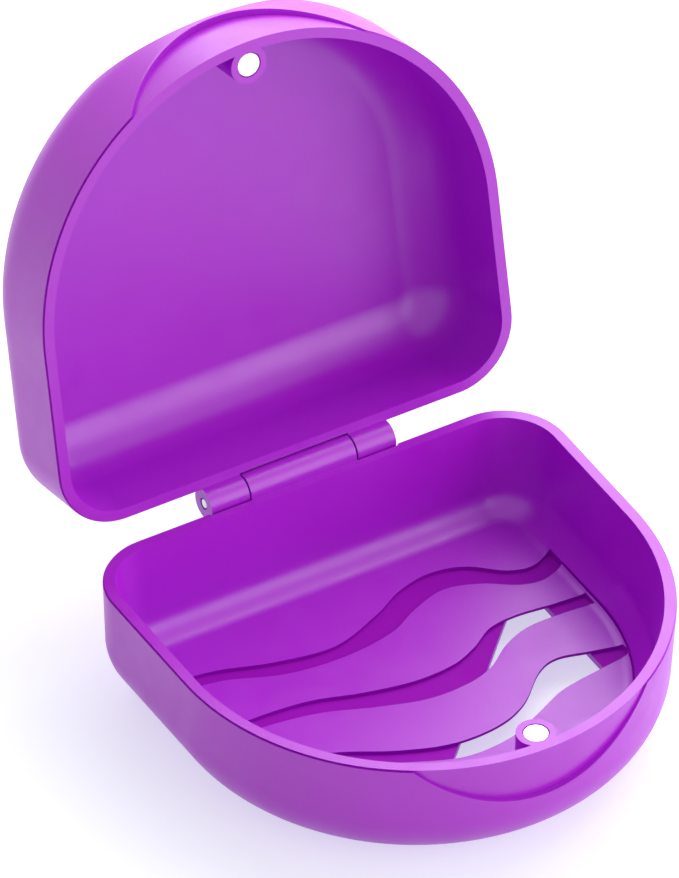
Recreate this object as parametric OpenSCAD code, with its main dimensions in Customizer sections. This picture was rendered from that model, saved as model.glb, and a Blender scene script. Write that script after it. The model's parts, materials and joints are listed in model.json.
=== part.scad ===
// Hinged retainer case: two moulded shells, a steel hinge pin and a pair of closing magnets.
// The base stands on Z = 0 with its footprint centred on the origin. The front is towards -Y.

/* [Case] */
// Width over the walls at the parting plane
case_width = 80; // [74:0.5:90]
// Depth over the walls at the parting plane, hinge left out
case_depth = 71.8; // [68:0.2:82]
// Height of the base from its underside to its rim
base_height = 20.6; // [19:0.2:26]
// Radius of the two back corners in plan
corner_radius = 10.6; // [10.6:0.1:14]
// Radius between the base's outer wall and its underside
edge_radius = 10; // [7:0.1:10]
// Thickness of the walls at the rim
wall = 1.9; // [1.5:0.1:2.3]
// How far each outer wall leans in from the rim to the closed face
wall_draft = 0.4; // [0.2:0.05:0.5]
// Gap between the two rims when the case is closed
parting_gap = 0.2; // [0.1:0.05:0.4]
// How far the flat rim strip stands in from the outer wall
rim_step_width = 0.2; // [0.1:0.05:0.3]
// How far the flat rim strip stands above the shoulder of the outer wall
rim_step_height = 0.35; // [0.2:0.05:0.6]

/* [Floor] */
// Depth from the base's rim to its floor
floor_depth = 16.4; // [14:0.2:16.8]
// Radius between the base's inner wall and its floor
floor_radius = 4.4; // [2:0.1:5]
// How far the base's inner wall leans in from the rim to the floor
floor_lean = 2.2; // [0.4:0.1:2.4]
// Distance from the foot of the base's inner wall to the ends of the wavy vents
vent_end = 2.5; // [1.5:0.1:4]
// Depth of the vents below the floor
vent_depth = 0.6; // [0.6:0.05:0.8]
// Thickness of the strips between the vents where the opening under them lets the ground show
strip_thickness = 0.5; // [0.4:0.05:0.5]
// Where the opening's slanted side crosses the middle plane, measured towards the front
opening_slant = 10.9; // [6:0.1:14]
// Distance from the middle plane to the opening's right side
opening_right = 27.1; // [24:0.1:28]
// Where the opening's back side lies, measured from the middle of the case
opening_back = 10.5; // [9:0.1:11]
// Where the opening's front side lies, measured from the middle of the case
opening_front = -15.5; // [-18:0.1:-12]
// Thickness of the floor over the hollow in the underside, round the opening
hollow_roof = 1.6; // [1.2:0.1:2]
// How far the hollow reaches past the opening's straight sides
hollow_margin = 2.5; // [1:0.1:3]
// Distance from the outer wall to the round side of the opening and the hollow
hollow_inset = 9; // [8:0.2:14]

/* [Thumb recess] */
// Width of each recess along the rim
recess_width = 41.8; // [30:0.2:48]
// Height of the base's recess below the rim at its middle
recess_height = 9.3; // [6:0.1:10]
// Height of the lid's recess below the rim at its middle
lid_recess_height = 10.2; // [6:0.1:10.2]
// Depth of each recess into the wall at its lip
recess_depth = 1.4; // [0.8:0.1:1.6]
// How far the wall swells inwards behind each recess
recess_backing = 0.9; // [0.6:0.1:1.4]

/* [Lid] */
// Angle that the lid stands open at rest
lid_open = 103.2; // [0:0.1:175]
// Height of the lid from its top to its rim
lid_height = 18.6; // [17:0.2:20]
// Radius between the lid's outer wall and its top
lid_edge_radius = 8; // [6:0.1:8]
// Thickness of the lid's top
lid_top = 1.2; // [1:0.1:2]
// Radius between the lid's inner wall and its ceiling
lid_inner_radius = 7.6; // [3:0.1:7.6]
// Depth below the lid's rim at which the front bevel starts
bevel_depth = 10.8; // [10.6:0.1:12]
// Length of the front bevel along the lid's top
bevel_length = 12; // [8:0.2:16]

/* [Hinge] */
// Diameter of the hinge knuckles
knuckle_diameter = 5; // [4.6:0.1:6]
// Distance from the back wall to the hinge axis
hinge_offset = 2.25; // [1.6:0.05:2.3]
// Length of the base's middle knuckle
middle_knuckle = 18.6; // [12:0.2:24]
// Length of each outer knuckle on the lid
outer_knuckle = 6.7; // [5:0.1:9]
// Clearance between each knuckle and what turns next to it
hinge_clearance = 0.3; // [0.2:0.05:0.4]
// Height of the web that joins a knuckle to its wall
web_height = 2.2; // [1.6:0.1:2.2]
// Diameter of the hinge pin
pin_diameter = 1.8; // [1.5:0.05:2.2]
// Radial clearance between the pin and the lid's knuckles
pin_clearance = 0.08; // [0.05:0.01:0.1]
// How far the pin's ends stand back inside the outer knuckles
pin_setback = 0.1; // [0.1:0.1:1]
// Chamfer on the pin's ends
pin_chamfer = 0.2; // [0.1:0.05:0.3]

/* [Magnets] */
// Diameter of each magnet
magnet_diameter = 4; // [3:0.1:4.5]
// Thickness of each magnet
magnet_thickness = 3; // [2:0.1:4]
// Chamfer on each magnet's edges
magnet_chamfer = 0.15; // [0.05:0.05:0.3]
// Radial clearance round a magnet in its pocket
magnet_clearance = 0.05; // [0.02:0.01:0.1]
// How far a magnet sits below the rim
magnet_setback = 0.1; // [0.05:0.05:0.3]
// Thickness of the boss round a magnet
boss_wall = 1.05; // [0.8:0.05:1.4]
// Distance from the front of the wall to the middle of a magnet
magnet_inset = 4.15; // [4:0.05:5]

/* [Hidden] */
$fn = 96;

// Overlap that makes a cut or a join sure
over = 0.5;
// Bite that lets a fillet's arc cross its two lines instead of grazing them
bite = 0.01;
// Least flat left between a fillet and the middle of the corner that it runs round
corner_flat = 0.2;
// Length past the object's own size for planes that cut right across it
reach = case_width + case_depth;

back_y = case_depth / 2;
front_y = -back_y;
front_radius = case_width / 2;
arc_y = front_y + front_radius;
corner_x = front_radius - corner_radius;
corner_y = back_y - corner_radius;
rim_z = base_height;
floor_z = rim_z - floor_depth;
axis_y = back_y + hinge_offset;
axis_z = rim_z + parting_gap / 2;
knuckle_radius = knuckle_diameter / 2;
outer_start = middle_knuckle / 2 + hinge_clearance;
outer_end = outer_start + outer_knuckle;
magnet_y = front_y + magnet_inset;
magnet_pocket = magnet_thickness + magnet_setback;
boss_radius = magnet_diameter / 2 + magnet_clearance + boss_wall;
magnet_z = rim_z - magnet_pocket;

// Height of the lid's top while it lies rim up, its rim level with the base's
lid_z = rim_z - lid_height;

// Rise of the lid's front bevel for each millimetre along it
bevel_slope = (lid_height - bevel_depth) / bevel_length;
bevel_skin = lid_top * sqrt(1 + bevel_slope * bevel_slope);

// Each vent runs across the floor through [place along the floor's half width, far side, near side]
vent_reach = front_radius - wall - floor_lean - vent_end;
vents = [
    [
        [-1, 21.5, 19], [-0.74, 20.4, 17.8], [-0.47, 17.6, 14.4], [-0.18, 16.2, 13.4],
        [0.09, 19.2, 14.6], [0.27, 22.3, 17.5], [0.45, 23.6, 19.3], [0.62, 22.3, 17.7],
        [0.77, 18.4, 14.5], [0.89, 17.3, 13.7], [1, 18.8, 15.1]
    ],
    [
        [-1, 7.6, 5.6], [-0.74, 8.1, 5.6], [-0.47, 7.3, 4.1], [-0.24, 5, 1.2],
        [0, 3.4, -1.2], [0.21, 3.6, -1.2], [0.36, 5.4, 0.3], [0.5, 8.2, 3.6],
        [0.65, 8.5, 5.7], [0.83, 8, 5.5], [1, 7.4, 4.9]
    ],
    [
        [-0.96, -0.6, -2.8], [-0.76, -2.2, -4.8], [-0.53, -5.1, -8.3], [-0.3, -9.1, -12.2],
        [-0.06, -11.8, -15.3], [0.18, -11.7, -15], [0.36, -9.3, -11.6], [0.53, -4.3, -9.5],
        [0.65, -3.1, -8.8], [0.8, -4.2, -8.3], [0.96, -5.5, -7.6]
    ]
];
vent_steps = 4;

// Radius of a round recess lip seen from the front, from its height
function lip_radius(height) = (pow(recess_width / 2, 2) + pow(height, 2)) / (2 * height);

// A point on the smooth curve through four neighbours, t running from the second to the third
function between(a, b, c, d, t) =
    0.5 * (2 * b + (c - a) * t + (2 * a - 5 * b + 4 * c - d) * t * t + (3 * b - a - 3 * c + d) * t * t * t);

// Points of the smooth curve through all of p
function smooth(p) = [
    for (i = [0:len(p) - 2], k = [0:vent_steps - (i == len(p) - 2 ? 0 : 1)])
        between(p[max(i - 1, 0)], p[i], p[i + 1], p[min(i + 2, len(p) - 1)], k / vent_steps)
];

function backwards(p) = [for (i = [len(p) - 1:-1:0]) p[i]];

// Half of a cross-section: the wall leans out to its width at the rim and rounds into the closed face
module wall_profile(width, height, radius, lean) {
    centre = width - lean + lean * radius / height - radius + bite;
    difference() {
        polygon([[0, 0], [width - lean, 0], [width, height], [0, height]]);
        difference() {
            translate([centre, -over])
                square([radius + over, radius - bite + over]);
            translate([centre, radius - bite])
                circle(radius);
        }
    }
}

// A solid with the plan of the case, set in from its walls, and a rounded lower edge
module rounded_block(inset, height, radius, lean) {
    front = front_radius - inset;
    corner = corner_radius - inset;
    fillet = min(radius, corner - lean - corner_flat);
    translate([0, arc_y])
        rotate([0, 0, 180])
            rotate_extrude(angle = 180)
                wall_profile(front, height, fillet, lean);
    translate([0, corner_y])
        rotate([90, 0, 0])
            linear_extrude(corner_y - arc_y)
                for (side = [0, 1])
                    mirror([side, 0])
                        wall_profile(front, height, fillet, lean);
    for (side = [0, 1])
        mirror([side, 0, 0])
            translate([corner_x, corner_y])
                rotate_extrude(angle = 90)
                    wall_profile(corner, height, fillet, lean);
    translate([-corner_x, corner_y])
        rotate([90, 0, 90])
            linear_extrude(2 * corner_x)
                wall_profile(corner, height, fillet, lean);
}

// The notch round the outside of the rim that leaves the flat strip standing
module rim_notch() {
    width = rim_step_width + over;
    height = rim_step_height + over;
    translate([0, 0, rim_z - rim_step_height]) {
        translate([0, arc_y])
            rotate([0, 0, 180])
                rotate_extrude(angle = 180)
                    translate([front_radius - rim_step_width, 0])
                        square([width, height]);
        for (side = [0, 1])
            mirror([side, 0, 0]) {
                translate([front_radius - rim_step_width, arc_y])
                    cube([width, corner_y - arc_y, height]);
                translate([corner_x, corner_y])
                    rotate_extrude(angle = 90)
                        translate([corner_radius - rim_step_width, 0])
                            square([width, height]);
            }
        translate([-corner_x, back_y - rim_step_width])
            cube([2 * corner_x, width, height]);
    }
}

// Everything inside a round bar that runs front to back, its underside the lip of a recess
module recess_bar(height, extra) {
    radius = lip_radius(height);
    translate([0, 0, rim_z - height + radius])
        rotate([90, 0, 0])
            cylinder(h = reach, r = radius + extra);
}

// The cut that leaves a thumb recess in the front wall, deeper towards its lip
module recess(height) {
    at_rim = front_radius - rim_step_width;
    at_lip = front_radius - recess_depth;
    fall = (at_rim - at_lip) / height;
    intersection() {
        translate([0, arc_y, rim_z])
            rotate([0, 0, 180])
                rotate_extrude(angle = 180)
                    polygon([
                        [at_rim + fall * over, over],
                        [front_radius + over, over],
                        [front_radius + over, -height - over],
                        [at_lip - fall * over, -height - over]
                    ]);
        recess_bar(height, 0);
    }
}

// The swelling inside the front wall that keeps it thick behind a recess
module recess_back(height) {
    inner = front_radius - wall;
    intersection() {
        translate([0, arc_y, rim_z])
            rotate([0, 0, 180])
                rotate_extrude(angle = 180)
                    polygon([
                        [inner + over, -over],
                        [inner - recess_backing, -height + wall],
                        [inner - recess_backing, -height - wall],
                        [inner + over, -height - 2 * wall]
                    ]);
        recess_bar(height, wall);
    }
}

// A bar along the hinge axis between two places on it
module axis_bar(from, to, radius) {
    translate([from, axis_y, axis_z])
        rotate([0, 90, 0])
            cylinder(h = to - from, r = radius);
}

// A knuckle with the web that joins it to the back wall
module knuckle(from, to) {
    axis_bar(from, to, knuckle_radius);
    translate([from, back_y - wall / 2, axis_z - web_height])
        cube([to - from, hinge_offset + wall / 2, web_height - parting_gap / 2]);
}

// The column that holds a magnet, standing inside a shell with a given height and edge radius
module boss(height, radius) {
    skin = lid_top / 2;
    translate([0, 0, rim_z - height])
        intersection() {
            translate([0, magnet_y, 0])
                cylinder(h = height, r = boss_radius);
            translate([0, 0, skin])
                rounded_block(skin, height, radius - skin, wall_draft);
        }
}

// The cuts that each shell has at its front: a recess and a magnet pocket
module front_cuts(height) {
    recess(height);
    translate([0, magnet_y, magnet_z])
        cylinder(h = magnet_pocket + over, r = magnet_diameter / 2 + magnet_clearance);
}

// Everything below the slope of the lid's front bevel, raised by a given amount
module below_bevel(raise) {
    start = rim_z - bevel_depth + raise;
    low = -over - wall;
    ahead = over + wall;
    far = (start - low) / bevel_slope;
    translate([-reach / 2, front_y, 0])
        rotate([90, 0, 90])
            linear_extrude(reach)
                polygon([[-ahead, start + ahead * bevel_slope], [far, low], [-ahead, low]]);
}

// One wavy vent through the floor's upper skin
module vent(p) {
    far_side = smooth([for (v = p) [v[0] * vent_reach, v[1]]]);
    near_side = smooth([for (v = p) [v[0] * vent_reach, v[2]]]);
    translate([0, 0, floor_z - vent_depth])
        linear_extrude(vent_depth + floor_radius)
            polygon(concat(far_side, backwards(near_side)));
}

// A cut in the underside, some way past the opening's straight sides, that leaves a roof below the floor
module underside_cut(margin, roof) {
    slant = opening_slant - margin * sqrt(2);
    right = opening_right + margin;
    back = opening_back + margin;
    front = opening_front - margin;
    translate([0, 0, -over])
        linear_extrude(floor_z - roof + over)
            intersection() {
                translate([0, arc_y])
                    circle(front_radius - hollow_inset);
                polygon([[back + slant, back], [right, back], [right, front], [front + slant, front]]);
            }
}

module base_shell() {
    color("mediumorchid")
        difference() {
            union() {
                difference() {
                    rounded_block(0, base_height, edge_radius, wall_draft);
                    translate([0, 0, floor_z])
                        rounded_block(wall, floor_depth + over, floor_radius, floor_lean);
                    rim_notch();
                    for (side = [0, 1])
                        mirror([side, 0, 0])
                            axis_bar(outer_start - hinge_clearance, outer_end + hinge_clearance,
                                knuckle_radius + hinge_clearance);
                }
                boss(base_height, edge_radius);
                recess_back(recess_height);
                knuckle(-middle_knuckle / 2, middle_knuckle / 2);
            }
            front_cuts(recess_height);
            axis_bar(-middle_knuckle, middle_knuckle, pin_diameter / 2);
            for (p = vents)
                vent(p);
            underside_cut(0, strip_thickness);
            underside_cut(hollow_margin, hollow_roof);
        }
}

// The lid lying rim up, as the base does
module lid_flat() {
    difference() {
        union() {
            difference() {
                translate([0, 0, lid_z])
                    rounded_block(0, lid_height, lid_edge_radius, wall_draft);
                difference() {
                    translate([0, 0, lid_z + lid_top])
                        rounded_block(wall, lid_height - lid_top + over, lid_inner_radius, 0);
                    below_bevel(bevel_skin);
                }
                rim_notch();
                axis_bar(-outer_start, outer_start, knuckle_radius + hinge_clearance);
            }
            boss(lid_height, lid_edge_radius);
            recess_back(lid_recess_height);
            for (side = [0, 1])
                mirror([side, 0, 0])
                    knuckle(outer_start, outer_end);
        }
        front_cuts(lid_recess_height);
        below_bevel(0);
        axis_bar(-outer_end - over, outer_end + over, pin_diameter / 2 + pin_clearance);
    }
}

// Turns what lies rim up into its place as the lid, open by the lid's angle
module as_lid() {
    translate([0, axis_y, axis_z])
        rotate([-lid_open, 0, 0])
            mirror([0, 0, 1])
                translate([0, -axis_y, -axis_z])
                    children();
}

module lid_shell() {
    color("mediumorchid")
        as_lid()
            lid_flat();
}

// A round bar standing on one end, with both ends chamfered
module chamfered_bar(length, radius, chamfer) {
    rotate_extrude()
        polygon([
            [0, 0], [radius - chamfer, 0], [radius, chamfer],
            [radius, length - chamfer], [radius - chamfer, length], [0, length]
        ]);
}

module hinge_pin() {
    half_length = outer_end - pin_setback;
    color("silver")
        translate([-half_length, axis_y, axis_z])
            rotate([0, 90, 0])
                chamfered_bar(2 * half_length, pin_diameter / 2, pin_chamfer);
}

// A disc magnet on the floor of its pocket
module magnet() {
    translate([0, magnet_y, magnet_z])
        chamfered_bar(magnet_thickness, magnet_diameter / 2, magnet_chamfer);
}

module base_magnet() {
    color("whitesmoke")
        magnet();
}

module lid_magnet() {
    color("whitesmoke")
        as_lid()
            magnet();
}

base_shell();
lid_shell();
hinge_pin();
base_magnet();
lid_magnet();
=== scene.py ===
import json
import math

import bmesh
import bpy
from mathutils import Matrix, Vector


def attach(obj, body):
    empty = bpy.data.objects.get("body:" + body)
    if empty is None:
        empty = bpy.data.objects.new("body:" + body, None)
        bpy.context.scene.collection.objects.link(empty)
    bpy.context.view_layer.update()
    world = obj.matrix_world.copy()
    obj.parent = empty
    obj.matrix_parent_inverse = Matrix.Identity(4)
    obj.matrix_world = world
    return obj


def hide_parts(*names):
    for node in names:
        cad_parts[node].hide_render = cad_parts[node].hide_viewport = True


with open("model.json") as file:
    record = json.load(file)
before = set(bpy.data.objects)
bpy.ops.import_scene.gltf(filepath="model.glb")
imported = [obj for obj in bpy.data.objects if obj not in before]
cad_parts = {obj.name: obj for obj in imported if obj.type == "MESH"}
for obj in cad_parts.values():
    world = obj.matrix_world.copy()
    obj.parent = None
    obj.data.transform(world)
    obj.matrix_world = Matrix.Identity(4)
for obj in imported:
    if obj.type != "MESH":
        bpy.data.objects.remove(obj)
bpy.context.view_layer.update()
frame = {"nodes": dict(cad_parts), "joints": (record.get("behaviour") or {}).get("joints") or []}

# Sizes are in millimetres, in the part's own frame, and MM turns them into metres
MM = 0.001

# Hinge, read from the frame
HINGE = frame["joints"][0]
AXIS_Y = HINGE["pos_m"][1] / MM
AXIS_Z = HINGE["pos_m"][2] / MM
LID_OPEN = math.radians(-HINGE["range_deg"][0])

# Plan and wall, the same for both shells; each is built lying rim up with its rim at RIM_Z
FRONT_RADIUS = 40.0
BACK_Y = 35.9
FRONT_Y = -BACK_Y
ARC_Y = FRONT_Y + FRONT_RADIUS
CORNER_RADIUS = 10.6
CORNER_X = FRONT_RADIUS - CORNER_RADIUS
CORNER_Y = BACK_Y - CORNER_RADIUS
RIM_Z = 20.6
WALL = 1.9

# Rim strip: it stands back from the wall, and more so at its foot, where that leaves a dark groove
RIM_STEP_WIDTH = 0.2
RIM_STEP_HEIGHT = 0.35
GROOVE_DEPTH = 0.5

# Thumb recess: a lip along an arc, slightly rounded on the outside, a flat ledge and a leaning back
RECESS_HALF_WIDTH = 20.9
BASE_RECESS_HEIGHT = 9.3
LID_RECESS_HEIGHT = 10.2
RECESS_DEPTH = 1.4
LIP_ROUND_HEIGHT = 0.9
LIP_ROUND_DEPTH = 0.06

# Behind the recess the wall swells inwards, from one depth below the rim to another
RECESS_BACKING = 0.9
BACKING_START = 2.9
BACKING_FULL = 7.4

# Base: its wall stands in by the draft at its foot, and its floor lies inside it
BASE_Z = 0.0
BASE_DRAFT = 1.0
BASE_EDGE_RADIUS = 10.0
FLOOR_DEPTH = 16.4
FLOOR_Z = RIM_Z - FLOOR_DEPTH
FLOOR_RADIUS = 4.4
FLOOR_LEAN = 2.2

# Crease and slot at the foot of the base's right wall; the crease fades from one y to the other at each end
CREASE_INSET = 6.3
CREASE_FRONT = (-24.0, -16.0)
CREASE_BACK = (15.0, 22.0)
SLOT_WIDTH = 0.3
SLOT_DEPTH = 0.2
SLOT_FRONT = -14.0
SLOT_BACK = 15.4

# Opening below the vents, which leaves thin strips of floor between them, and a wider hollow round it
STRIP_THICKNESS = 0.5
OPENING_SLANT = 10.9
OPENING_RIGHT = 27.1
OPENING_BACK = 10.5
OPENING_FRONT = -15.5
HOLLOW_ROOF = 1.6
HOLLOW_MARGIN = 2.5
HOLLOW_INSET = 9.0
HOLLOW_RADIUS = FRONT_RADIUS - HOLLOW_INSET

# Vents: each runs through points of [x as a share of VENT_REACH, y of its far side, y of its near side]
VENT_DEPTH = 0.6
VENT_END = 2.5
VENT_REACH = FRONT_RADIUS - WALL - FLOOR_LEAN - VENT_END
VENTS = [
    [
        [-1, 21.5, 19], [-0.74, 20.4, 17.8], [-0.47, 17.6, 14.4], [-0.18, 16.2, 13.4],
        [0.09, 19.2, 14.6], [0.27, 22.3, 17.5], [0.45, 23.6, 19.3], [0.62, 22.3, 17.7],
        [0.77, 18.4, 14.5], [0.89, 17.3, 13.7], [1.015, 19, 15.2],
    ],
    [
        [-1, 7.6, 5.6], [-0.74, 8.1, 5.6], [-0.47, 7.3, 4.1], [-0.24, 5, 1.2],
        [0, 3.4, -1.2], [0.21, 3.6, -1.2], [0.36, 5.4, 0.3], [0.5, 8.2, 3.6],
        [0.65, 8.8, 5.5], [0.83, 8.2, 5.6], [1, 7.8, 5.1],
    ],
    [
        [-0.96, -0.6, -2.8], [-0.76, -2.2, -4.8], [-0.53, -5.1, -8.3], [-0.3, -9.1, -12.2],
        [-0.06, -11.8, -15.3], [0.18, -11.7, -15], [0.36, -9.3, -12.6], [0.53, -4.3, -9.9],
        [0.65, -2.8, -8.9], [0.8, -3.9, -8.2], [0.96, -5.2, -7.5],
    ],
]

# A face is inside a vent or the slot if its middle is this far below the floor, in vent depths, and its
# normal doesn't point down
INSIDE_VENT = (0.1, 1.1)
POINTS_DOWN = -0.1

# Lid, with a plane bevel from its front wall to its closed face
LID_HEIGHT = 18.6
LID_Z = RIM_Z - LID_HEIGHT
LID_DRAFT = 0.4
LID_EDGE_RADIUS = 8.0
LID_TOP = 1.2
LID_INNER_RADIUS = 7.6
BEVEL_DEPTH = 10.8
BEVEL_LENGTH = 12.0
BEVEL_START = RIM_Z - BEVEL_DEPTH
BEVEL_SLOPE = (LID_HEIGHT - BEVEL_DEPTH) / BEVEL_LENGTH
BEVEL_SKIN = LID_TOP * math.hypot(1, BEVEL_SLOPE)

# Hinge knuckles: a long one on the base, between two short ones on the lid
KNUCKLE_RADIUS = 2.5
KNUCKLE_GAP = 0.3
KNUCKLE_ROOM = KNUCKLE_RADIUS + KNUCKLE_GAP
MIDDLE_END = 9.3
OUTER_START = MIDDLE_END + KNUCKLE_GAP
OUTER_LENGTH = 6.7
OUTER_END = OUTER_START + OUTER_LENGTH
WEB_DROP = 2.2
WEB_LOW = AXIS_Z - WEB_DROP
BASE_BORE_RADIUS = 0.9
LID_BORE_RADIUS = 0.98

# Magnet bosses, flat on the side towards the front wall, and the pockets in them
MAGNET_INSET = 4.15
MAGNET_Y = FRONT_Y + MAGNET_INSET
MAGNET_POCKET = 3.1
MAGNET_HOLE_RADIUS = 2.05
BOSS_RADIUS = 3.1
BOSS_FRONT_INSET = 1.65
BOSS_FRONT_Y = FRONT_Y + BOSS_FRONT_INSET
BOSS_ROOT = 0.7

# Cuts run out past a surface by OVERCUT, and END_OFFSET keeps the ends of two solids out of one plane
OVERCUT = 1.0
END_OFFSET = 0.02

# Steps round the plan, closer together round the recess, which lies between two angles of the front arc
CORNER_STEPS = 24
SIDE_STEPS = 28
RECESS_STEPS = 136
RECESS_FIRST = 236
RECESS_LAST = 304

# Steps up the outside of a shell, down its inside, and along the other curves
EDGE_STEPS = 18
WALL_STEPS = 8
LIP_STEPS = 5
RECESS_BACK_STEPS = 10
INNER_WALL_STEPS = 16
FILLET_STEPS = 14
CIRCLE_STEPS = 64
KNUCKLE_STEPS = 64
VENT_STEPS = 8
SLOT_STEPS = 24
HOLLOW_STEPS = 12

# Edges that turn more than this stay sharp
SHARP_ANGLE = math.radians(30)

# Materials: two tones, a range of roughness and a relief in metres, with a noise for each of these, given as
# (features for each metre, detail); noise seldom leaves the range from NOISE_LOW to NOISE_HIGH
NOISE_LOW = 0.3
NOISE_HIGH = 0.7
PLASTIC_NOISES = ((60, 3), (220, 4), (2600, 2))
SATIN_TONES = ((0.46, 0.002, 0.65), (0.48, 0.003, 0.68))
SATIN_ROUGHNESS = (0.34, 0.42)
SATIN_RELIEF = 0.00001
SATIN_GLOSS = 0.9
# The vent tones are darker than the satin ones, which is painted shade inside the vents and the slot; their
# lower gloss, higher roughness and relief are a real duller finish
MATT_SHADED_TONES = ((0.37, 0.002, 0.50), (0.39, 0.003, 0.52))
MATT_ROUGHNESS = (0.55, 0.65)
MATT_RELIEF = 0.00002
MATT_GLOSS = 0.1
NICKEL_NOISES = ((900, 4), (1800, 4), (4000, 3))
NICKEL_TONES = ((0.90, 0.90, 0.91), (0.97, 0.97, 0.97))
NICKEL_ROUGHNESS = (0.2, 0.35)
NICKEL_RELIEF = 0.000005
STEEL_NOISES = ((1500, 4), (3000, 4), (5000, 3))
STEEL_TONES = ((0.60, 0.59, 0.57), (0.78, 0.77, 0.75))
STEEL_ROUGHNESS = (0.25, 0.45)
STEEL_RELIEF = 0.00001

# Stage, in metres and watts: a pale ground, a white surround and two soft lamps; GROUND_LIGHT and
# SURROUND_LIGHT are the strengths of the first two in scattered light
GROUND_SIZE = 6.0
GROUND_SHADE = (0.58, 0.60, 0.56)
GROUND_GLOW = (0.55, 0.56, 0.65)
GROUND_LIGHT = 0.35
SURROUND_LIGHT = 0.42
LAMP_TARGET = (0, 0, 0.03)
BACK_LAMP_PLACE = (0.64, 0.60, 0.70)
BACK_LAMP_SIZE = (1.5, 1.4)
BACK_LAMP_POWER = 18.5
FRONT_LAMP_PLACE = (0.74, -0.74, 0.44)
FRONT_LAMP_SIZE = (1.8, 0.95)
FRONT_LAMP_POWER = 8.5

# Camera: a long lens, so that parallel edges stay parallel; the picture's directions and its middle are in
# the part's frame
LENS = 1100.0
SENSOR = 36.0
VIEW_RIGHT = Vector((0.85621, -0.51627, 0.01928))
VIEW_UP = Vector((0.32236, 0.56304, 0.76097))
VIEW_CENTRE = Vector((-6.46, 15.57, 46.15)) * MM
PIXELS_PER_MM = 6.65
IMAGE_HEIGHT = 878


def steps(first, last, count):
    """count + 1 numbers from first to last."""
    return [first + (last - first) * i / count for i in range(count + 1)]


def smoothstep(low, high, value):
    """0 up to low, 1 from high on, and a smooth rise between them."""
    t = min(max((value - low) / (high - low), 0.0), 1.0)
    return t * t * (3 - 2 * t)


# Shells


def outline():
    """Stations round the plan, anticlockwise from the right: ((x, y), outward normal) at the outer wall."""
    stations = []

    def arc(x, y, radius, degrees):
        for degree in degrees:
            normal = Vector((math.cos(math.radians(degree)), math.sin(math.radians(degree))))
            stations.append((Vector((x, y)) + radius * normal, normal))

    arc(CORNER_X, CORNER_Y, CORNER_RADIUS, steps(0, 90, CORNER_STEPS))
    arc(-CORNER_X, CORNER_Y, CORNER_RADIUS, steps(90, 180, CORNER_STEPS))
    arc(0, ARC_Y, FRONT_RADIUS, steps(180, RECESS_FIRST, SIDE_STEPS)[:-1])
    arc(0, ARC_Y, FRONT_RADIUS, steps(RECESS_FIRST, RECESS_LAST, RECESS_STEPS))
    arc(0, ARC_Y, FRONT_RADIUS, steps(RECESS_LAST, 360, SIDE_STEPS)[1:])
    return stations


def lip_circle(recess):
    """Radius and height of the middle of the round lip of a recess of a given height."""
    radius = (RECESS_HALF_WIDTH ** 2 + recess ** 2) / (2 * recess)
    return radius, RIM_Z - recess + radius


def lip_height(x, recess):
    """Height of the recess's lip where the wall is x from the middle, or of the rim's step outside it."""
    step = RIM_Z - RIM_STEP_HEIGHT
    if abs(x) >= RECESS_HALF_WIDTH:
        return step
    radius, middle = lip_circle(recess)
    return min(step, middle - math.sqrt(radius ** 2 - x ** 2))


def wall_inset(z, low, draft):
    """How far the outer wall of a shell that reaches down to low stands in at a height."""
    return draft * (RIM_Z - z) / (RIM_Z - low)


def outer_rows(point, low, draft, radius, recess):
    """(inset, z) up the outside of a shell, from its closed face to the outer edge of its rim."""
    on_front = point.y < ARC_Y
    lip = lip_height(point.x, recess) if on_front else RIM_Z - RIM_STEP_HEIGHT
    share = (RIM_Z - lip) / recess
    round_height = min(LIP_ROUND_HEIGHT * share, (lip - low - radius) / 2)
    round_depth = LIP_ROUND_DEPTH * share
    bottom = max(RIM_STEP_WIDTH + (RECESS_DEPTH - RIM_STEP_WIDTH) * share, GROOVE_DEPTH)
    centre = wall_inset(low + radius, low, draft) + radius
    rows = [
        (centre - radius * math.sin(a), low + radius * (1 - math.cos(a)))
        for a in steps(0, math.pi / 2, EDGE_STEPS)
    ]
    rows += [
        (wall_inset(z, low, draft), z)
        for z in steps(low + radius, lip - round_height, WALL_STEPS)[1:]
    ]
    rows += [
        (wall_inset(lip, low, draft) + round_depth * t * t, lip - round_height * (1 - t))
        for t in steps(0, 1, LIP_STEPS)[1:]
    ]
    rows += [
        (bottom + (RIM_STEP_WIDTH - bottom) * t, lip + (RIM_Z - lip) * t)
        for t in steps(0, 1, RECESS_BACK_STEPS)
    ]
    return rows


def backing(point, z, recess):
    """How far the wall swells inwards behind a recess of a given height."""
    radius, middle = lip_circle(recess)
    inside = radius + WALL - math.hypot(point.x, z - middle)
    if point.y > ARC_Y or inside < 0:
        return 0.0
    below = RIM_Z - z
    return RECESS_BACKING * smoothstep(0, WALL, inside) * smoothstep(BACKING_START, BACKING_FULL, below)


def crease_share(point):
    """1 beside the right ends of the vents, where the wall's foot is straight, falling to 0 past them."""
    if point.x < 0:
        return 0.0
    return smoothstep(*CREASE_FRONT, point.y) * (1 - smoothstep(*CREASE_BACK, point.y))


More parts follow.
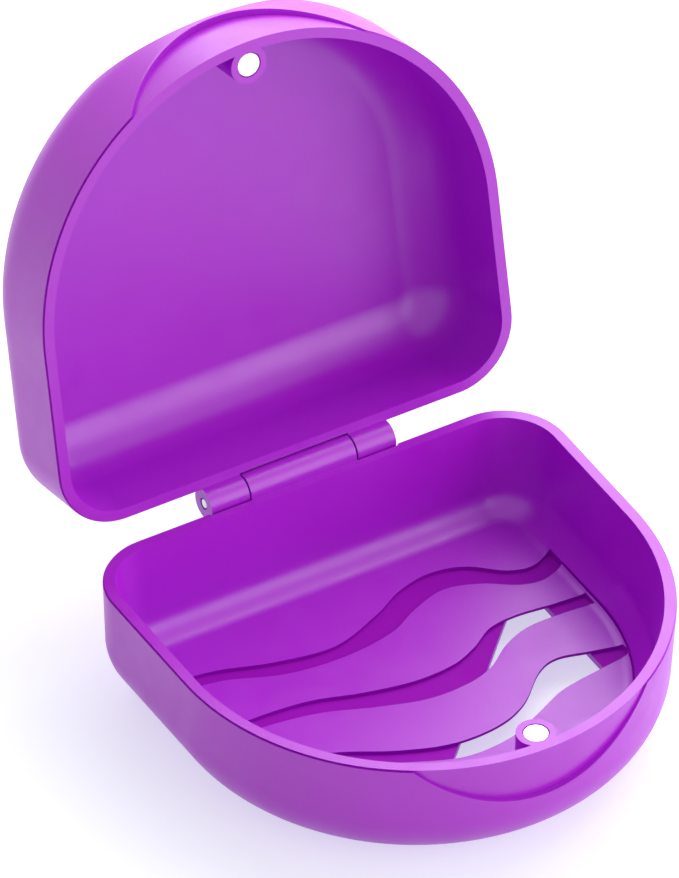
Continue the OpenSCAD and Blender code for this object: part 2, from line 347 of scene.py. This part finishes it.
def inner_rows(point, floor, radius, lean, recess, creased):
    """(inset, z) down the inside of a shell, from the inner edge of its rim to its floor or ceiling."""
    depth = RIM_Z - floor

    def inset(z):
        return WALL + max(lean * (RIM_Z - z) / depth, backing(point, z, recess))

    rows = [(inset(z), z) for z in steps(RIM_Z, floor + radius, INNER_WALL_STEPS)]
    foot = WALL + lean * (depth - radius) / depth
    crease_at = math.pi / 4
    share = 0.0
    if creased:
        crease_at = math.acos(1 - (CREASE_INSET - foot) / radius)
        share = crease_share(point)
    crease_z = floor + radius * (1 - math.sin(crease_at))
    # Half of the steps lead round the fillet to the crease, and half from there to the floor
    for t in steps(0, 1, FILLET_STEPS)[1:]:
        turn = crease_at * min(2 * t, 1) + (math.pi / 2 - crease_at) * max(2 * t - 1, 0)
        z = floor + radius * (1 - math.sin(turn))
        across = foot + radius * (1 - math.cos(turn))
        if turn < crease_at:
            straight = (floor + radius - z) / (floor + radius - crease_z)
            across += share * (foot + (CREASE_INSET - foot) * straight - across)
        rows.append((max(across, WALL + backing(point, z, recess)), z))
    return rows


def sweep(rows_at):
    """An open surface through the rows at every station: its mesh and its columns of points."""
    bm = bmesh.new()
    columns = []
    for point, normal in outline():
        columns.append([bm.verts.new((*(point - normal * inset), z)) for inset, z in rows_at(point)])
    for i, here in enumerate(columns):
        there = columns[(i + 1) % len(columns)]
        for j in range(len(here) - 1):
            bm.faces.new((here[j], there[j], there[j + 1], here[j + 1]))
    return bm, columns


def cut_below(bm, raised):
    """Cuts away what lies below the slope of the lid's bevel, raised by a height, and closes the cut."""
    result = bmesh.ops.bisect_plane(
        bm,
        geom=bm.verts[:] + bm.edges[:] + bm.faces[:],
        plane_co=(0, FRONT_Y, BEVEL_START + raised),
        plane_no=(0, -BEVEL_SLOPE, -1),
        clear_outer=True,
    )
    edges = [e for e in result["geom_cut"] if isinstance(e, bmesh.types.BMEdge)]
    bmesh.ops.contextual_create(bm, geom=edges)


def to_object(name, bm):
    """An object in the scene with the mesh, its normals pointing outwards."""
    bmesh.ops.recalc_face_normals(bm, faces=bm.faces)
    mesh = bpy.data.meshes.new(name)
    bm.to_mesh(mesh)
    bm.free()
    obj = bpy.data.objects.new(name, mesh)
    bpy.context.scene.collection.objects.link(obj)
    return obj


def shell(name, low, draft, edge_radius, floor, radius, lean, recess, creased, bevelled):
    """A shell lying rim up: the outside, the rim and the inside joined into one closed surface."""
    outside, columns = sweep(lambda point: outer_rows(point, low, draft, edge_radius, recess))
    outside.faces.new([column[0] for column in columns])
    if bevelled:
        cut_below(outside, 0)
    inside, columns = sweep(lambda point: inner_rows(point, floor, radius, lean, recess, creased))
    inside.faces.new([column[-1] for column in columns])
    if bevelled:
        cut_below(inside, BEVEL_SKIN)
    part = bpy.data.meshes.new("inside")
    inside.to_mesh(part)
    inside.free()
    outside.from_mesh(part)
    bpy.data.meshes.remove(part)
    rims = [e for e in outside.edges if e.is_boundary]
    bmesh.ops.bridge_loops(outside, edges=rims)
    return to_object(name, outside)


# Solids that are joined to a shell or cut out of it


def loft(bm, rings):
    """A closed solid through rings of points."""
    loops = [[bm.verts.new(p) for p in ring] for ring in rings]
    count = len(rings[0])
    for low, high in zip(loops, loops[1:]):
        for i in range(count):
            bm.faces.new((low[i], low[(i + 1) % count], high[(i + 1) % count], high[i]))
    bm.faces.new(loops[0])
    bm.faces.new(loops[-1])


def prism(bm, ring, low, high):
    """An upright solid over a ring of (x, y)."""
    loft(bm, [[(x, y, z) for x, y in ring] for z in (low, high)])


def circle(radius):
    """Points round a circle."""
    turns = steps(0, 2 * math.pi, CIRCLE_STEPS)[:-1]
    return [(radius * math.cos(a), radius * math.sin(a)) for a in turns]


def axis_bar(bm, start, end, radius):
    """A round bar along the hinge axis."""
    loft(bm, [[(x, AXIS_Y + y, AXIS_Z + z) for y, z in circle(radius)] for x in (start, end)])


def knuckle(bm, start, end):
    """A hinge knuckle with the web that joins it to the back wall."""
    inner_y = BACK_Y - WALL / 2
    first = math.atan2(WEB_LOW - AXIS_Z, -math.sqrt(KNUCKLE_RADIUS ** 2 - (WEB_LOW - AXIS_Z) ** 2))
    last = math.pi + math.asin((AXIS_Z - RIM_Z) / KNUCKLE_RADIUS)
    section = [(inner_y, WEB_LOW)]
    section += [
        (AXIS_Y + KNUCKLE_RADIUS * math.cos(a), AXIS_Z + KNUCKLE_RADIUS * math.sin(a))
        for a in steps(first, last, KNUCKLE_STEPS)
    ]
    section.append((inner_y, RIM_Z))
    loft(bm, [[(x, y, z) for y, z in section] for x in (start, end)])


def boss(bm, root):
    """The column round a magnet, from inside the closed face up to the rim."""
    ring = [(x, max(MAGNET_Y + y, BOSS_FRONT_Y)) for x, y in circle(BOSS_RADIUS)]
    loft(bm, [[(x, y, root(y)) for x, y in ring], [(x, y, RIM_Z) for x, y in ring]])


def base_root(y):
    """Height inside the base's floor, clear of the rounded edge below it."""
    edge_top = BASE_Z + BASE_EDGE_RADIUS
    across = wall_inset(edge_top, BASE_Z, BASE_DRAFT) + BASE_EDGE_RADIUS - (y - FRONT_Y)
    under = edge_top - math.sqrt(BASE_EDGE_RADIUS ** 2 - max(across, 0) ** 2)
    return max(FLOOR_Z - BOSS_ROOT, under + BOSS_ROOT)


def lid_root(y):
    """Height inside the skin of the lid's front bevel."""
    return BEVEL_START + BEVEL_SKIN - BOSS_ROOT - BEVEL_SLOPE * (y - FRONT_Y)


def magnet_hole(bm):
    """The pocket of a magnet."""
    ring = [(x, MAGNET_Y + y) for x, y in circle(MAGNET_HOLE_RADIUS)]
    prism(bm, ring, RIM_Z - MAGNET_POCKET, RIM_Z + OVERCUT)


def smooth_through(points):
    """A smooth curve through points."""
    curve = []
    last = len(points) - 1
    for i in range(last):
        a, b, c, d = (Vector(points[k]) for k in (max(i - 1, 0), i, i + 1, min(i + 2, last)))
        for k in range(VENT_STEPS):
            t = k / VENT_STEPS
            curve.append(0.5 * (
                2 * b + (c - a) * t + (2 * a - 5 * b + 4 * c - d) * t ** 2
                + (3 * b - a - 3 * c + d) * t ** 3
            ))
    return curve + [Vector(points[-1])]


def vent(bm, points):
    """One wavy groove in the floor."""
    far = smooth_through([(place * VENT_REACH, y) for place, y, _ in points])
    near = smooth_through([(place * VENT_REACH, y) for place, _, y in points])
    prism(bm, far + near[::-1], FLOOR_Z - VENT_DEPTH, FLOOR_Z + FLOOR_RADIUS)


def foot_slot(bm):
    """A narrow slot along the foot of the right wall, past the ends of the vents."""
    near = FRONT_RADIUS - CREASE_INSET
    far = near + SLOT_WIDTH
    first = math.asin((SLOT_FRONT - ARC_Y) / near)
    turns = steps(first, 0, SLOT_STEPS)
    ring = [(near * math.cos(a), ARC_Y + near * math.sin(a)) for a in turns]
    ring += [(near, SLOT_BACK), (far, SLOT_BACK)]
    ring += [(far * math.cos(a), ARC_Y + far * math.sin(a)) for a in reversed(turns)]
    prism(bm, ring, FLOOR_Z - SLOT_DEPTH, FLOOR_Z + FLOOR_RADIUS)


def underside_cut(bm, margin, roof):
    """A cut up from the underside, a margin wider than the opening, that leaves a roof below the floor."""
    slant = OPENING_SLANT - margin * math.sqrt(2)
    right = OPENING_RIGHT + margin
    back = OPENING_BACK + margin
    front = OPENING_FRONT - margin
    start = math.asin((front - ARC_Y) / HOLLOW_RADIUS)
    end = -math.acos(right / HOLLOW_RADIUS)
    ring = [(front + slant, front)]
    ring += [
        (HOLLOW_RADIUS * math.cos(a), ARC_Y + HOLLOW_RADIUS * math.sin(a))
        for a in steps(start, end, HOLLOW_STEPS)
    ]
    ring += [(right, back), (back + slant, back)]
    prism(bm, ring, BASE_Z - OVERCUT, FLOOR_Z - roof)


def combine(obj, operation, *builders):
    """Joins solids to a shell or cuts them out of it; solids of one call don't overlap."""
    bm = bmesh.new()
    for build in builders:
        build(bm)
    tool = to_object("tool", bm)
    modifier = obj.modifiers.new("combine", "BOOLEAN")
    modifier.operation = operation
    modifier.solver = "EXACT"
    modifier.object = tool
    depsgraph = bpy.context.evaluated_depsgraph_get()
    made = bpy.data.meshes.new_from_object(obj.evaluated_get(depsgraph))
    obj.modifiers.clear()
    old = obj.data
    obj.data = made
    made.name = obj.name
    bpy.data.meshes.remove(old)
    bpy.data.objects.remove(tool)


def finish_shell(obj, matrix, body, node):
    """Puts a shell in its place in metres, smooths its curved faces and hands it to its body."""
    obj.data.transform(Matrix.Scale(MM, 4) @ matrix)
    if matrix.determinant() < 0:
        obj.data.flip_normals()
    obj.data.shade_smooth()
    obj.data.set_sharp_from_angle(angle=SHARP_ANGLE)
    weighted = obj.modifiers.new("flat faces stay flat", "WEIGHTED_NORMAL")
    weighted.keep_sharp = True
    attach(obj, body)
    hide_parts(node)


def inside_vent(face):
    """Whether a face is a side or the bottom of a vent or of the slot."""
    shallow, deep = INSIDE_VENT
    below = FLOOR_Z - face.center.z
    return shallow * VENT_DEPTH < below < deep * VENT_DEPTH and face.normal.z > POINTS_DOWN


def make_base(satin, matt_and_painted_shade):
    """The base, with room for the lid's knuckles, and in its vents a duller finish whose darker tone is
    painted shade.
    """
    obj = shell(
        "base_body",
        low=BASE_Z,
        draft=BASE_DRAFT,
        edge_radius=BASE_EDGE_RADIUS,
        floor=FLOOR_Z,
        radius=FLOOR_RADIUS,
        lean=FLOOR_LEAN,
        recess=BASE_RECESS_HEIGHT,
        creased=True,
        bevelled=False,
    )
    start = OUTER_START - KNUCKLE_GAP + END_OFFSET
    end = OUTER_END + KNUCKLE_GAP
    bore_end = MIDDLE_END + OVERCUT
    combine(
        obj, "DIFFERENCE",
        lambda bm: axis_bar(bm, start, end, KNUCKLE_ROOM),
        lambda bm: axis_bar(bm, -end, -start, KNUCKLE_ROOM),
    )
    combine(
        obj, "UNION",
        lambda bm: boss(bm, base_root),
        lambda bm: knuckle(bm, -MIDDLE_END, MIDDLE_END),
    )
    combine(
        obj, "DIFFERENCE",
        magnet_hole,
        lambda bm: axis_bar(bm, -bore_end, bore_end, BASE_BORE_RADIUS),
        *[lambda bm, p=points: vent(bm, p) for points in VENTS],
    )
    combine(obj, "DIFFERENCE", foot_slot)
    combine(obj, "DIFFERENCE", lambda bm: underside_cut(bm, 0, STRIP_THICKNESS))
    combine(obj, "DIFFERENCE", lambda bm: underside_cut(bm, HOLLOW_MARGIN, HOLLOW_ROOF))
    obj.data.materials.clear()
    obj.data.materials.append(satin)
    obj.data.materials.append(matt_and_painted_shade)
    # Faces inside the vents and the slot get the second material, whose darker tone is painted shade
    for face in obj.data.polygons:
        face.material_index = 1 if inside_vent(face) else 0
    finish_shell(obj, Matrix.Identity(4), "base", "base_shell")


def make_lid(satin):
    """The lid, with room for the base's knuckle, turned over the hinge to where it stands open."""
    obj = shell(
        "lid_body",
        low=LID_Z,
        draft=LID_DRAFT,
        edge_radius=LID_EDGE_RADIUS,
        floor=LID_Z + LID_TOP,
        radius=LID_INNER_RADIUS,
        lean=0,
        recess=LID_RECESS_HEIGHT,
        creased=False,
        bevelled=True,
    )
    end = OUTER_START - END_OFFSET
    bore_end = OUTER_END + OVERCUT
    combine(obj, "DIFFERENCE", lambda bm: axis_bar(bm, -end, end, KNUCKLE_ROOM))
    combine(
        obj, "UNION",
        lambda bm: boss(bm, lid_root),
        lambda bm: knuckle(bm, OUTER_START, OUTER_END),
        lambda bm: knuckle(bm, -OUTER_END, -OUTER_START),
    )
    combine(
        obj, "DIFFERENCE",
        magnet_hole,
        lambda bm: axis_bar(bm, -bore_end, bore_end, LID_BORE_RADIUS),
    )
    axis = Matrix.Translation((0, AXIS_Y, AXIS_Z))
    turned = Matrix.Rotation(-LID_OPEN, 4, "X") @ Matrix.Diagonal((1, 1, -1, 1))
    obj.data.materials.clear()
    obj.data.materials.append(satin)
    finish_shell(obj, axis @ turned @ axis.inverted(), "lid", "lid_shell")


# Materials


def new_material(name):
    """A node material, with its nodes, its links and its shader."""
    material = bpy.data.materials.new(name)
    material.use_nodes = True
    nodes = material.node_tree.nodes
    return material, nodes, material.node_tree.links, nodes["Principled BSDF"]


def noise(nodes, links, scale, detail):
    """Noise in the part's own frame, with a scale in features for each metre."""
    place = nodes.new("ShaderNodeTexCoord")
    texture = nodes.new("ShaderNodeTexNoise")
    texture.inputs["Scale"].default_value = scale
    texture.inputs["Detail"].default_value = detail
    links.new(place.outputs["Object"], texture.inputs["Vector"])
    return texture.outputs["Fac"]


def between(nodes, links, value, low, high):
    """Noise spread over low to high."""
    spread = nodes.new("ShaderNodeMapRange")
    spread.inputs["From Min"].default_value = NOISE_LOW
    spread.inputs["From Max"].default_value = NOISE_HIGH
    spread.inputs["To Min"].default_value = low
    spread.inputs["To Max"].default_value = high
    links.new(value, spread.inputs["Value"])
    return spread.outputs["Result"]


def bump(nodes, links, shader, height, distance):
    """Fine relief on a surface."""
    node = nodes.new("ShaderNodeBump")
    node.inputs["Strength"].default_value = 1.0
    node.inputs["Distance"].default_value = distance
    links.new(height, node.inputs["Height"])
    links.new(node.outputs["Normal"], shader.inputs["Normal"])


def two_tone(nodes, links, shader, factor, first, second):
    """A colour between two tones."""
    mix = nodes.new("ShaderNodeMix")
    mix.data_type = "RGBA"
    mix.inputs["A"].default_value = (*first, 1)
    mix.inputs["B"].default_value = (*second, 1)
    links.new(factor, mix.inputs["Factor"])
    links.new(mix.outputs["Result"], shader.inputs["Base Color"])


def mottled(name, tones, roughness, relief, noises):
    """A material with its colour, roughness and relief each spread by a noise, and its shader."""
    material, nodes, links, shader = new_material(name)
    tone, rough, height = [noise(nodes, links, scale, detail) for scale, detail in noises]
    two_tone(nodes, links, shader, between(nodes, links, tone, 0, 1), *tones)
    links.new(between(nodes, links, rough, *roughness), shader.inputs["Roughness"])
    bump(nodes, links, shader, height, relief)
    return material, shader


def satin_plastic():
    """Purple moulded plastic with a faint flow mottle and a fine grain."""
    material, shader = mottled("satin_plastic", SATIN_TONES, SATIN_ROUGHNESS, SATIN_RELIEF, PLASTIC_NOISES)
    shader.inputs["Specular IOR Level"].default_value = SATIN_GLOSS
    return material


def matt_plastic_painted_shade():
    """A duller finish of the plastic inside the vents and the slot, with a darker tone there that is painted
    shade.
    """
    material, shader = mottled("matt_plastic_painted_shade", MATT_SHADED_TONES, MATT_ROUGHNESS, MATT_RELIEF, PLASTIC_NOISES)
    shader.inputs["Specular IOR Level"].default_value = MATT_GLOSS
    return material


def nickel():
    """Plated magnet: bright, with faint marks of wear."""
    material, shader = mottled("nickel", NICKEL_TONES, NICKEL_ROUGHNESS, NICKEL_RELIEF, NICKEL_NOISES)
    shader.inputs["Metallic"].default_value = 1.0
    return material


def drawn_steel():
    """Hinge wire with fine marks from drawing and cutting."""
    material, shader = mottled("drawn_steel", STEEL_TONES, STEEL_ROUGHNESS, STEEL_RELIEF, STEEL_NOISES)
    shader.inputs["Metallic"].default_value = 1.0
    return material


def seen_directly(nodes, links):
    """1 for rays from the camera, straight or by a mirror or glass, and 0 for scattered light."""
    path = nodes.new("ShaderNodeLightPath")
    seen = path.outputs["Is Camera Ray"]
    for name in ("Is Glossy Ray", "Is Transmission Ray"):
        largest = nodes.new("ShaderNodeMath")
        largest.operation = "MAXIMUM"
        links.new(seen, largest.inputs[0])
        links.new(path.outputs[name], largest.inputs[1])
        seen = largest.outputs[0]
    return seen


def brighter_seen(nodes, links, scattered):
    """A strength of 1 where it is seen and a lower one for scattered light."""
    level = nodes.new("ShaderNodeMapRange")
    level.inputs["To Min"].default_value = scattered
    level.inputs["To Max"].default_value = 1.0
    links.new(seen_directly(nodes, links), level.inputs["Value"])
    return level.outputs["Result"]


def ground_material():
    """A white light table: part of its white is its own, and the rest keeps a soft shadow."""
    material, nodes, links, shader = new_material("ground")
    shader.inputs["Base Color"].default_value = (*GROUND_SHADE, 1)
    shader.inputs["Roughness"].default_value = 1.0
    shader.inputs["Specular IOR Level"].default_value = 0.0
    shader.inputs["Emission Color"].default_value = (*GROUND_GLOW, 1)
    links.new(brighter_seen(nodes, links, GROUND_LIGHT), shader.inputs["Emission Strength"])
    return material


# Stage and camera


def make_ground():
    """The ground that the case stands on."""
    bm = bmesh.new()
    bmesh.ops.create_grid(bm, x_segments=1, y_segments=1, size=GROUND_SIZE / 2)
    ground = to_object("ground", bm)
    ground.data.materials.append(ground_material())


def make_surround():
    """The white that surrounds the case, and the even light from it."""
    world = bpy.data.worlds.new("surround")
    bpy.context.scene.world = world
    world.use_nodes = True
    nodes = world.node_tree.nodes
    links = world.node_tree.links
    background = nodes["Background"]
    background.inputs["Color"].default_value = (1, 1, 1, 1)
    links.new(brighter_seen(nodes, links, SURROUND_LIGHT), background.inputs["Strength"])


def area_lamp(name, place, size, power):
    """A soft lamp that faces the case."""
    lamp = bpy.data.lights.new(name, "AREA")
    lamp.shape = "RECTANGLE"
    lamp.size, lamp.size_y = size
    lamp.energy = power
    obj = bpy.data.objects.new(name, lamp)
    obj.location = place
    obj.rotation_euler = (Vector(LAMP_TARGET) - Vector(place)).to_track_quat("-Z", "Y").to_euler()
    bpy.context.scene.collection.objects.link(obj)


def make_camera():
    """The camera at the photo's angle, as far off as its lens needs."""
    data = bpy.data.cameras.new("camera")
    data.lens = LENS
    data.sensor_width = SENSOR
    camera = bpy.data.objects.new("camera", data)
    back = VIEW_RIGHT.cross(VIEW_UP).normalized()
    up = back.cross(VIEW_RIGHT).normalized()
    distance = LENS / SENSOR * IMAGE_HEIGHT / PIXELS_PER_MM * MM
    turn = Matrix((VIEW_RIGHT.normalized(), up, back)).transposed().to_4x4()
    camera.matrix_world = Matrix.Translation(VIEW_CENTRE + back * distance) @ turn
    data.clip_end = 2 * distance
    bpy.context.scene.collection.objects.link(camera)
    bpy.context.scene.camera = camera


make_camera()
make_ground()
make_surround()
area_lamp("back", BACK_LAMP_PLACE, BACK_LAMP_SIZE, BACK_LAMP_POWER)
area_lamp("front", FRONT_LAMP_PLACE, FRONT_LAMP_SIZE, FRONT_LAMP_POWER)
satin = satin_plastic()
matt_and_painted_shade = matt_plastic_painted_shade()
make_base(satin, matt_and_painted_shade)
make_lid(satin)
plating = nickel()
wire = drawn_steel()
for node, material in (("base_magnet", plating), ("lid_magnet", plating), ("hinge_pin", wire)):
    frame["nodes"][node].material_slots[0].material = material

bpy.context.scene.view_settings.view_transform = "Standard"
